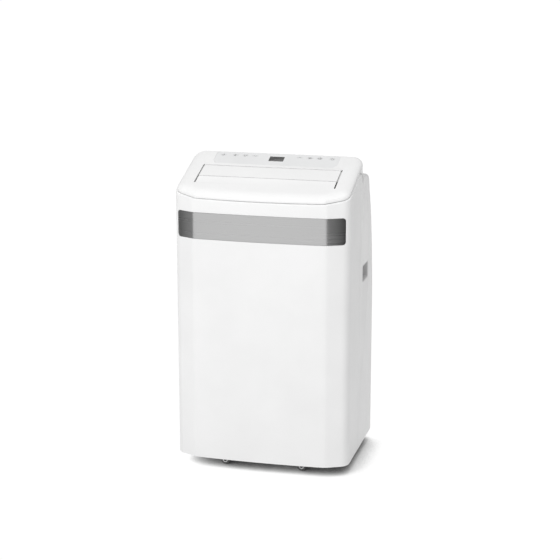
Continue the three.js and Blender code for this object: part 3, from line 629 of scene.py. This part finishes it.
def plinth_form(name, d):
    """The raised exhaust panel, d inside its surface."""
    loops = []
    for grow, y in ((0, REAR_Y - 20), (0, REAR_Y), (-11, PLINTH_Y - 2), (-13.5, PLINTH_Y - d)):
        half = HALF_W - 6 - d + grow * 0.4
        outline = rounded_box(-half, half, 264 + d - grow, 422 - d + grow, 14, 8)
        loops.append([(x, y - (d if y == REAR_Y else 0), z) for x, z in outline])
    return loft(name, loops)


def rear_casing():
    shell = rear_form("rear_casing", 0)
    boolean(shell, "UNION", plinth_form("plinth", 0))
    hollow = rear_form("hollow", WALL)
    boolean(hollow, "UNION", plinth_form("plinth_hollow", WALL))
    lid = [
        (SPLIT_Y - 30, lid_z(SPLIT_Y) - GAP),
        (SPLIT_Y, lid_z(SPLIT_Y) - GAP),
        (TOP_REAR_Y + GAP, shoulder_z(TOP_REAR_Y) - GAP),
        (TOP_REAR_Y + GAP, TOP_Z + 20),
        (SPLIT_Y - 30, TOP_Z + 20),
    ]
    far = HALF_W + 5
    cut(
        shell,
        hollow,
        block("ahead", -far, far, FRONT_Y, SPLIT_Y + GAP / 2, -5, TOP_Z + 5),
        block("below", -far, far, FRONT_Y, REAR_Y + 20, -5, BODY_Z),
        prism("lid_room", lid, "side", -far, far),
    )
    windows = [
        block("w", -g["half"], g["half"], 60, 190, g["z0"], g["z1"]) for g in (UPPER_GRILLE, LOWER_GRILLE)
    ]
    x, z = EXHAUST["x"], EXHAUST["z"]
    bore = turned("b", [(EXHAUST["bore"] + 3, -30), (EXHAUST["bore"] + 3, 20)], (x, REAR_Y, z))
    seat = turned("s", [(EXHAUST["flange"] + 0.5, -2), (EXHAUST["flange"] + 0.5, 10)], (x, PLINTH_Y, z))
    ports = [turned("p", [(r, -20), (r, 20)], (px, REAR_Y, pz), segments=32) for px, pz, r in PORTS]
    grips = [
        prism("g", grip_outline(GAP), "side", side * 200, side * 230)
        for side in (-1, 1)
    ]
    cut(shell, joined(windows), bore, seat, joined(ports), joined(grips), joined(thumb_notches()))
    return stand_in(soften(shell, 0.35, 2, 40), "rear_shell")


def thumb_notches():
    """The bead-shaped notch in each shoulder behind the end of the top cover's skirt."""
    made = []
    for side in (-1, 1):
        rings = []
        for i in range(1, 16):
            angle = math.pi * i / 16
            r = math.sin(angle)
            x, z = side * (HALF_W - 0.5), NOTCH["z"] - NOTCH["tall"] * math.cos(angle)
            circle = arc(0, 0, r, 0, 345, 23)
            rings.append([(x + NOTCH["deep"] * a, NOTCH["y"] + NOTCH["long"] * b, z) for a, b in circle])
        made.append(loft("notch", rings))
    return made


rear_casing()


def handle_cup(side, node):
    mouth, back = HALF_W - 0.6, HALF_W - 0.6 - HANDLE["depth"]
    outer = prism("grip_cup", grip_outline(0), "side", side * back, side * mouth)
    wall = HANDLE["wall"]
    inner = prism("i", grip_outline(-wall), "side", side * (back + wall), side * (HALF_W + 10))
    return stand_in(soften(cut(outer, inner), 1.0, 3), node)


handle_cup(-1, "handle_left")
handle_cup(1, "handle_right")

# ---------- Rear grilles ----------
SLOTS = {"pitch": 8.2, "tall": 4.8, "columns": 3, "margin": 12}


def back_strip(z0, z1, outer, inner):
    """The outline, from the side, of a curved plate between two insets of the back."""
    profile = [p for p in rear_profile() if p[0] > 60]
    fine = smooth_line([(REAR_Y, 420), *[p for p in profile if 421 < p[1] < 712]], 2)
    edge = normals_of(fine, closed=False)
    kept = [(y, z, n) for (y, z), n in zip(fine, edge) if z0 <= z <= z1]
    return [(y - n.x * outer, z - n.y * outer) for y, z, n in kept] + [
        (y - n.x * inner, z - n.y * inner) for y, z, n in reversed(kept)
    ]


def slot_cutters(grille, head):
    """The rows of slots of a grille, which stop short of its top by head."""
    pitch, tall, columns, margin = SLOTS["pitch"], SLOTS["tall"], SLOTS["columns"], SLOTS["margin"]
    width = (2 * grille["half"] - 2 * margin) / columns
    cutters = []
    rows = int((grille["z1"] - grille["z0"] - margin - head) / pitch)
    for row in range(rows):
        z = grille["z0"] + margin + row * pitch
        for column in range(columns):
            x = -grille["half"] + margin + column * width
            outline = rounded_box(x + 2.5, x + width - 2.5, z, z + tall, tall / 2 - 0.1, 3)
            cutters.append(prism("slot", outline, "front", 60, 190))
    return joined(cutters)


def upper_grille():
    g = UPPER_GRILLE
    outline = back_strip(g["z0"] + GAP, g["z1"] - GAP, 0.3, WALL)
    panel = prism("upper_grille", outline, "side", -g["half"] + GAP, g["half"] - GAP)
    cut(panel, slot_cutters(g, 26))
    stand_in(soften(panel, 0.25, 1, 45), "upper_filter_grille")
    net = prism("filter_net", back_strip(g["z0"] + 6, g["z1"] - 6, 4.5, 5.9), "side", -160, 160)
    stand_in(soften(net, 0.2, 1), "upper_filter_mesh", NET)


def lower_grille():
    g = LOWER_GRILLE
    half = g["half"] - GAP
    panel = block("lower_grille", -half, half, REAR_Y - WALL, REAR_Y - 0.3, g["z0"] + GAP, g["z1"] - GAP)
    cut(panel, slot_cutters(g, 12))
    stand_in(soften(panel, 0.25, 1, 45), "lower_intake_grille")


upper_grille()
lower_grille()

# ---------- Exhaust collar ----------


def exhaust_collar():
    bore, flange = EXHAUST["bore"], EXHAUST["flange"]
    profile = [
        (bore, 146),
        (bore + 2.6, 146),
        (bore + 2.6, PLINTH_Y - 1.8),
        (flange - 0.4, PLINTH_Y - 1.8),
        (flange, PLINTH_Y - 1.4),
        (flange, PLINTH_Y - 0.5),
        (flange - 0.5, PLINTH_Y),
        (bore + 1.5, PLINTH_Y),
        (bore, PLINTH_Y - 1.5),
    ]
    segments = 96
    loops = []
    for i in range(segments):
        a = 2 * math.pi * i / segments
        across, up = math.cos(a), math.sin(a)
        loops.append([(EXHAUST["x"] + r * across, y, EXHAUST["z"] + r * up) for r, y in profile])
    count = len(loops[0])
    points = [p for loop in loops for p in loop]
    faces = [
        [a * count + i, a * count + (i + 1) % count, b * count + (i + 1) % count, b * count + i]
        for a in range(segments)
        for b in [(a + 1) % segments]
        for i in range(count)
    ]
    stand_in(soften(mesh_object("exhaust_ring", points, faces), 0), "exhaust_collar")


exhaust_collar()

# ---------- Top cover ----------


def lid_outline(grow):
    """The top cover's plan, drawn in by grow along the front and sides and by less along the back."""
    front_y = FRONT_Y + 1.2 + grow
    edge_y = front_y + CROWN
    run = Vector((CANT_END[0] - FLAT_HALF, CANT_END[1] - (FRONT_Y + CROWN)))
    normal = Vector((run.y, -run.x)).normalized()
    anchor = Vector((FLAT_HALF, FRONT_Y + CROWN)) - normal * (LID_INSET + grow)
    side = HALF_W - LID_INSET - grow

    def cant_at(x=None, y=None):
        share = (x - anchor.x) / run.x if x is not None else (y - anchor.y) / run.y
        return anchor + run * share

    crease = cant_at(y=edge_y - 0.6)
    corner = cant_at(x=side)
    back = TOP_REAR_Y - grow * ROLL["rear"] / ROLL["wide"]
    right = [
        (crease.x, crease.y, 22),
        (corner.x, corner.y, max(FRONT_CORNER_R - grow, 8)),
        (side, back, max(27 - grow, 9)),
    ]
    crown = crown_points(crease.x - 8, crease.y - 0.35, front_y, 16)
    left = [(-x, y, r) for x, y, r in reversed(right)]
    return filleted([(x, y, 0) for x, y in crown[1:-1]] + right + left, 10)


def lid_form(name, d):
    """The cover's form, d inside its surface: a sloping top that rolls over into upright walls."""
    steps = 9
    loops = []
    for i in range(steps + 1):
        angle = math.pi / 2 * (1 - i / steps)
        grow = d + ROLL["wide"] * (1 - math.cos(angle))
        depth = d + ROLL["deep"] * (1 - math.sin(angle))
        loops.append([(x, y, top_z(y) - depth) for x, y in lid_outline(grow)])
    loops.append([(x, y, top_z(y) - d - 60) for x, y in lid_outline(d)])
    return loft(name, loops)


def strip_outline(grow):
    half, wide = STRIP["front"] + grow, STRIP["rear"] + grow
    v0, v1 = STRIP["v0"] - grow, STRIP["v1"] + grow
    right = [(half, v0, 3), (wide, v0 + 16, 9), (wide, v1, 7)]
    return filleted(right + [(-x, y, r) for x, y, r in reversed(right)], 6)


def key_holes(low, high):
    """Cutters for the keys' holes, between two heights over the sloping top."""
    circles = [arc(x, KEY["v"], KEY["r"] + KEY["gap"], 0, 350, 35) for x in KEYS.values()]
    return joined([prism("key_hole", circle, "above", low, high, slope) for circle in circles])


def top_cover():
    cover = lid_form("top_casing", 0)
    under = [
        (FRONT_Y - 5, lid_z(FRONT_Y - 5)),
        (SPLIT_Y, lid_z(SPLIT_Y)),
        (TOP_REAR_Y + 1, shoulder_z(TOP_REAR_Y)),
        (TOP_REAR_Y + 1, 580),
        (FRONT_Y - 5, 580),
    ]
    v0, v1 = LOUVER["v0"], LOUVER["v1"]
    half, slot = LOUVER["half"], LOUVER["slot"]
    slits = [
        prism("slit", rounded_box(a, b, v0, v1, 1.9, 4), "above", -30, 10, slope)
        for a, b in ((-slot, -half), (half, slot))
    ]
    d = DISPLAY
    round_back = arc(PIVOT_V, -LOUVER["pivot"], LOUVER["pivot"] + 0.4, 0, 355, 71)
    cut(
        cover,
        lid_form("cover_hollow", WALL),
        prism("under", under, "side", -HALF_W - 5, HALF_W + 5),
        block("mouth", -half - 1, half + 1, LOUVER["seam"], PIVOT_V + LOUVER["lip"], -30, 10, slope),
        prism("lip", round_back, "side", -slot, slot, slope),
        joined(slits),
        prism("strip_seat", strip_outline(0.3), "above", -STRIP["depth"], 10, slope),
        block("window_hole", -d["half"], d["half"], d["v0"], d["v1"], -30, 10, slope),
        key_holes(-30, 10),
    )
    return stand_in(soften(cover, 0.4, 2, 38), "top_cover")


def louver_shade_pieces():
    """Grey pieces on the louver's edges that face the cover, as painted shade for the slits and the seam: on
    its cheeks, their tabs and its front.
    """
    # A mid grey that paints in the shade of the slits and the seam.
    slit_shade = moulded("slit_shade_grey", 0.44, 0.5, 0.8, grain_mm=0.05)
    half, pivot = LOUVER["half"], LOUVER["pivot"]
    front = LOUVER["seam"] + LOUVER["gap"]
    middle = (half + LOUVER["slot"]) / 2
    reach = PIVOT_V - LOUVER["v0"] - 0.8
    sector = [(PIVOT_V, 2 - pivot)]
    sector += [(PIVOT_V + a, b - pivot) for a, b in arc(0, 0, reach + 0.1, 180, 194, 6)]
    sector += [(PIVOT_V, -5 - pivot)]
    tab = [(front + 3.9, -5.1), (PIVOT_V, -5.1), (PIVOT_V, -2.4), (front + 3.9, -2.4)]
    edge = [(front - 0.25, -2.8), (front + 0.1, -2.8), (front + 0.1, -0.35), (front - 0.25, -0.35)]
    for side in (-1, 1):
        x = side * middle
        cheek = prism("cheek_shade", sector, "side", x - 1.5, x + 1.5, slope)
        detail(soften(cheek, 0.15, 1), "louver", "handle_grey", slit_shade)
        ends = sorted((side * (half + 0.05), x + side * 1.05))
        detail(soften(prism("tab_shade", tab, "side", *ends, slope), 0.1, 1), "louver", "handle_grey", slit_shade)
    front_shade = prism("front_shade", edge, "side", 0.6 - half, half - 0.6, slope)
    detail(soften(front_shade, 0.1, 1), "louver", "handle_grey", slit_shade)


top_cover()
refined("louver", 0.4, 40)
louver_shade_pieces()

# ---------- Controls ----------


def control_strip():
    strip = prism("control_strip", strip_outline(0), "above", -STRIP["depth"] + 0.3, -0.1, slope)
    d = DISPLAY
    window = rounded_box(-d["half"] - 0.3, d["half"] + 0.3, d["v0"] - 0.3, d["v1"] + 0.3, 1.2)
    cut(strip, key_holes(-5, 5), prism("w", window, "above", -5, 5, slope))
    stand_in(soften(strip, 0.15, 1, 40), "control_overlay")


def display():
    d = DISPLAY
    outline = rounded_box(-d["half"] + 0.2, d["half"] - 0.2, d["v0"] + 0.2, d["v1"] - 0.2, 1.2)
    stand_in(soften(prism("display", outline, "above", -3, -0.1, slope), 0.3), "display_window")


def key_cap(name, x):
    profile = [(KEY["r"], -6.2), (KEY["r"], -0.6), (KEY["r"] - 0.2, -0.25), (KEY["r"] - 0.7, -0.1)]
    profile += [(4.2, -0.16), (2.2, -0.2), (0.6, -0.21)]
    loops = [[(x + a, KEY["v"] + b, w) for a, b in arc(0, 0, r, 0, 352.5, 47)] for r, w in profile]
    stand_in(soften(loft("key_" + name, loops, slope), 0), "button_" + name)


def ribbon(line, width, closed=False):
    """The outline pieces of a stroke: one quad for each stretch of a line."""
    quads = []
    count = len(line) if closed else len(line) - 1
    for i in range(count):
        a, b = Vector(line[i]), Vector(line[(i + 1) % len(line)])
        side = (b - a).orthogonal().normalized() * width / 2
        quads.append([a - side, b - side, b + side, a + side])
    return quads


def sun_rays(inner, outer, count):
    """Short strokes round a circle, between two radii."""
    angles = [2 * math.pi * k / count for k in range(count)]
    return [([(r * math.cos(t), r * math.sin(t)) for r in (inner, outer)], False) for t in angles]


def fan_blades(r, turns):
    """Half circles round a hub, one for each turn, in radians."""
    strokes = []
    for turn in turns:
        start = math.degrees(turn) - 90
        strokes.append((arc(r * math.cos(turn), r * math.sin(turn), r, start, start + 180, 8), False))
    return strokes


SIGN = {"scale": 1.55, "stroke": 0.75, "low": -0.12, "high": -0.05}
# Each stroke of a sign is a line of points and whether it closes on itself.
SIGNS = {
    "ion": [(arc(0, -0.4, 1.6, 130, 410, 20), False), ([(-1.1, 0.9), (0, 2.6), (1.1, 0.9)], False)],
    "sleep": [(arc(0, 0, 2.3, 60, 300, 20), False), (arc(1.5, 0, 2.1, 105, 255, 14), False)],
    "fan": fan_blades(1.2, (0.5, 2.6, 4.7)),
    "down": [([(-2, 1), (0, -1.2), (2, 1)], False)],
    "up": [([(-2, -1), (0, 1.2), (2, -1)], False)],
    "mode": [(arc(0, 0, 1.3, 0, 345, 23), True), *sun_rays(1.9, 2.9, 8)],
    "timer": [(arc(0, 0, 2.4, 0, 345, 23), True), ([(0, 1.6), (0, 0), (1.2, -0.6)], False)],
    "power": [(arc(0, -0.2, 2.3, 125, 415, 24), False), ([(0, 0.3), (0, 2.9)], False)],
}


def key_sign(name, x):
    """The small printed sign on a key."""
    points, faces = [], []
    for line, closed in SIGNS[name]:
        for quad in ribbon(line, SIGN["stroke"], closed):
            base = len(points)
            points += [
                slope @ Vector((x + SIGN["scale"] * p.x, KEY["v"] + SIGN["scale"] * p.y, w))
                for w in (SIGN["low"], SIGN["high"])
                for p in quad
            ]
            ring = [base + k for k in range(4)]
            top = [base + 4 + k for k in range(4)]
            faces += [ring[::-1], top] + [[ring[k], ring[k - 3], top[k - 3], top[k]] for k in range(4)]
    mesh = bpy.data.meshes.new("sign_" + name)
    mesh.from_pydata([p * MM for p in points], [], faces)
    sign = bpy.data.objects.new("sign_" + name, mesh)
    bpy.context.collection.objects.link(sign)
    detail(sign, "key_" + name, "display_dark", PRINT)


control_strip()
display()
for key_name, key_x in KEYS.items():
    key_cap(key_name, key_x)
    key_sign(key_name, key_x)

# ---------- Casters ----------


def caster_wheel(place):
    """A tyre in place of the CAD wheel, with a pale rim and, on each side, a dark cap whose colour is painted
    shade for the hub's hole.
    """
    node = "caster_wheel_" + place
    low, high = (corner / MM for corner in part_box(node))
    centre = (low + high) / 2
    r, half = WHEEL_R, (high.y - low.y) / 2
    disc = [
        (2.5, 3.7),
        (r - 0.8, 3.7),
        (r, 4.5),
        (r, half - 1.4),
        (r - 0.9, half - 0.3),
        (r - 2, half),
        (r - 4.6, half),
        (r - 4.8, half - 0.6),
        (0.1, half - 0.6),
    ]
    profile = [(a, -b) for a, b in reversed(disc)] + disc
    middle = (centre.x, centre.y, r)
    wheel = turned("tread_" + place, profile, middle)
    stand_in(soften(wheel, 0), node, TYRE)
    # The dark cap paints the shade of the hub's hole.
    cap = [(r - 7.2, half - 0.7), (r - 7.5, half - 0.3), (0.1, half - 0.2)]
    rim = [
        (r - 4.9, half - 0.7),
        (r - 5, half - 0.2),
        (r - 5.6, half),
        (r - 6.9, half),
        (r - 7.4, half - 0.5),
    ]
    trims = (("rim", rim, "inner_white", RIM), ("cap", cap, "inner_grey", HUB_SHADE))
    for side in (-1, 1):
        for name, outline, slot, finish in trims:
            trim = turned(f"{name}_{place}_{side}", [(a, side * b) for a, b in outline], middle)
            detail(soften(trim, 0), node_body[node], slot, finish)


for caster in ("front_left", "front_right", "rear_left", "rear_right"):
    caster_wheel(caster)
    refined("caster_fork_" + caster, 0.6)

# ---------- Screws in the back ----------


def screw(name, x, z):
    """A cross-head screw just under the surface of the back."""
    y = REAR_Y + 0.3
    profile = [(3.6, -1.2), (3.6, 0.2), (3.1, 1.0), (1.8, 1.5), (0.1, 1.6)]
    head = turned(name, profile, (x, y, z), segments=32)
    cross = [block("c", x - a, x + a, y + 0.6, y + 3, z - b, z + b) for a, b in ((2, 0.35), (0.35, 2))]
    cut(head, *cross)
    detail(soften(head, 0, angle=30), "casing", "zinc_steel")


SCREWS = {"x": 203, "rows": (40, 254, 436)}
for row_z in SCREWS["rows"]:
    screw(f"screw_left_{row_z}", -SCREWS["x"], row_z)
    screw(f"screw_right_{row_z}", SCREWS["x"], row_z)

# ---------- The pieces inside, and small fittings ----------
REFINED = {
    "base_pan": 0.6,
    "middle_deck": 0.8,
    "outlet_frame": 0.4,
    "outlet_grille": 0.4,
    "outlet_duct": 1.5,
    "louver_motor": 0.5,
    "control_board": 0.2,
    "compressor": 1.5,
    "compressor_grommet_1": 0.8,
    "compressor_grommet_2": 0.8,
    "compressor_grommet_3": 0.8,
    "accumulator": 1.0,
    "condenser_coil": 0.4,
    "evaporator_coil": 0.4,
    "evaporator_scroll": 1.5,
    "evaporator_fan": 0.3,
    "evaporator_motor": 1.0,
    "condenser_scroll": 1.0,
    "condenser_fan": 0.3,
    "condenser_motor": 1.0,
    "splash_wheel": 0.4,
    "splash_motor": 0.8,
    "electrical_box": 0.6,
    "discharge_pipe": 0,
    "suction_pipe": 0,
    "liquid_pipe": 0,
    "cord_inlet": 0.5,
    "drain_plug_upper": 0.6,
    "drain_plug_lower": 0.6,
}
for inner_node, edge_width in REFINED.items():
    refined(inner_node, edge_width, 62 if "pipe" in inner_node else 35)

# ---------- Floor, light and camera ----------
# The floor's painted contact shadow round the object: its reach in metres, which way it leans, and openness
# to glow.
CONTACT_SHADOW = {"reach": 0.12, "lean": (-0.6, -0.3, 0.742), "range": (0.28, 0.59, 0.03, 1.02)}


def card(name, corners):
    """A single flat quad."""
    mesh = bpy.data.meshes.new(name)
    mesh.from_pydata([Vector(p) * MM for p in corners], [], [[0, 1, 2, 3]])
    obj = bpy.data.objects.new(name, mesh)
    bpy.context.collection.objects.link(obj)
    return obj


def floor():
    """A plain pale floor that glows evenly, and less where the object closes it in, which paints a contact
    shadow: no light falls on it.
    """
    far = 40000
    obj = card("floor", ((-far, -far, 0), (far, -far, 0), (far, far, 0), (-far, far, 0)))
    made = Shader("floor_paint", 0.9)
    nodes, links = made.nodes, made.links
    near = nodes.new("ShaderNodeAmbientOcclusion")
    near.samples = 16
    near.inputs["Distance"].default_value = CONTACT_SHADOW["reach"]
    lean = nodes.new("ShaderNodeCombineXYZ")
    for axis, share in zip("XYZ", CONTACT_SHADOW["lean"]):
        lean.inputs[axis].default_value = share
    links.new(lean.outputs["Vector"], near.inputs["Normal"])
    # Painted shadow: the glow drops near the object as its ambient occlusion falls.
    painted_shadow = nodes.new("ShaderNodeMapRange")
    for socket, value in zip(("From Min", "From Max", "To Min", "To Max"), CONTACT_SHADOW["range"]):
        painted_shadow.inputs[socket].default_value = value
    links.new(near.outputs["AO"], painted_shadow.inputs["Value"])
    glow = nodes.new("ShaderNodeEmission")
    links.new(painted_shadow.outputs["Result"], glow.inputs["Strength"])
    links.new(glow.outputs["Emission"], nodes["Material Output"].inputs["Surface"])
    obj.data.materials.append(made.material)


def softbox(name, place, target, size, power):
    lamp = bpy.data.lights.new(name, "AREA")
    lamp.shape = "RECTANGLE"
    lamp.size, lamp.size_y = size
    lamp.energy = power
    obj = bpy.data.objects.new(name, lamp)
    obj.location = place
    obj.rotation_euler = (Vector(target) - Vector(place)).to_track_quat("-Z", "Y").to_euler()
    bpy.context.collection.objects.link(obj)


def sun(name, strength, spread):
    lamp = bpy.data.lights.new(name, "SUN")
    lamp.energy = strength
    lamp.angle = math.radians(spread)
    obj = bpy.data.objects.new(name, lamp)
    bpy.context.collection.objects.link(obj)


def flag(name, tone, x, y0, y1, height):
    """A dark card beside the set, seen only in glossy reflections and not by the camera."""
    obj = card(name, ((x, y0, 0), (x, y1, 0), (x, y1, height), (x, y0, height)))
    made = Shader(name + "_cloth", 1.0)
    made.colour(made.noise(20), grey(tone), grey(1.3 * tone))
    obj.data.materials.append(made.material)
    obj.visible_camera = False
    obj.visible_diffuse = False
    obj.visible_shadow = False


def world():
    scene_world = bpy.data.worlds.new("studio")
    scene_world.use_nodes = True
    background = scene_world.node_tree.nodes["Background"]
    background.inputs["Color"].default_value = (1, 1, 1, 1)
    background.inputs["Strength"].default_value = 0.39
    bpy.context.scene.world = scene_world


def camera():
    azimuth, elevation, distance = math.radians(14.17), math.radians(14.25), 4.0
    target = Vector((0.0104, 0.0026, 0.4563))
    back = Vector(
        (
            math.sin(azimuth) * math.cos(elevation),
            -math.cos(azimuth) * math.cos(elevation),
            math.sin(elevation),
        )
    )
    data = bpy.data.cameras.new("camera")
    data.sensor_width = 36
    data.lens = 101.5
    obj = bpy.data.objects.new("camera", data)
    obj.location = target + back * distance
    obj.rotation_euler = (-back).to_track_quat("-Z", "Y").to_euler()
    bpy.context.collection.objects.link(obj)
    bpy.context.scene.camera = obj


floor()
world()
flag("flag_left", 0.16, -1300, -1500, -100, 600)
flag("flag_right", 0.01, 1150, -4500, 200, 2200)
softbox("front_light", (-0.6, -3.7, 2.6), (0, 0, 0.4), (2.0, 2.0), 95)
sun("overhead_light", 1.34, 60)
camera()
bpy.context.scene.view_settings.view_transform = "Standard"
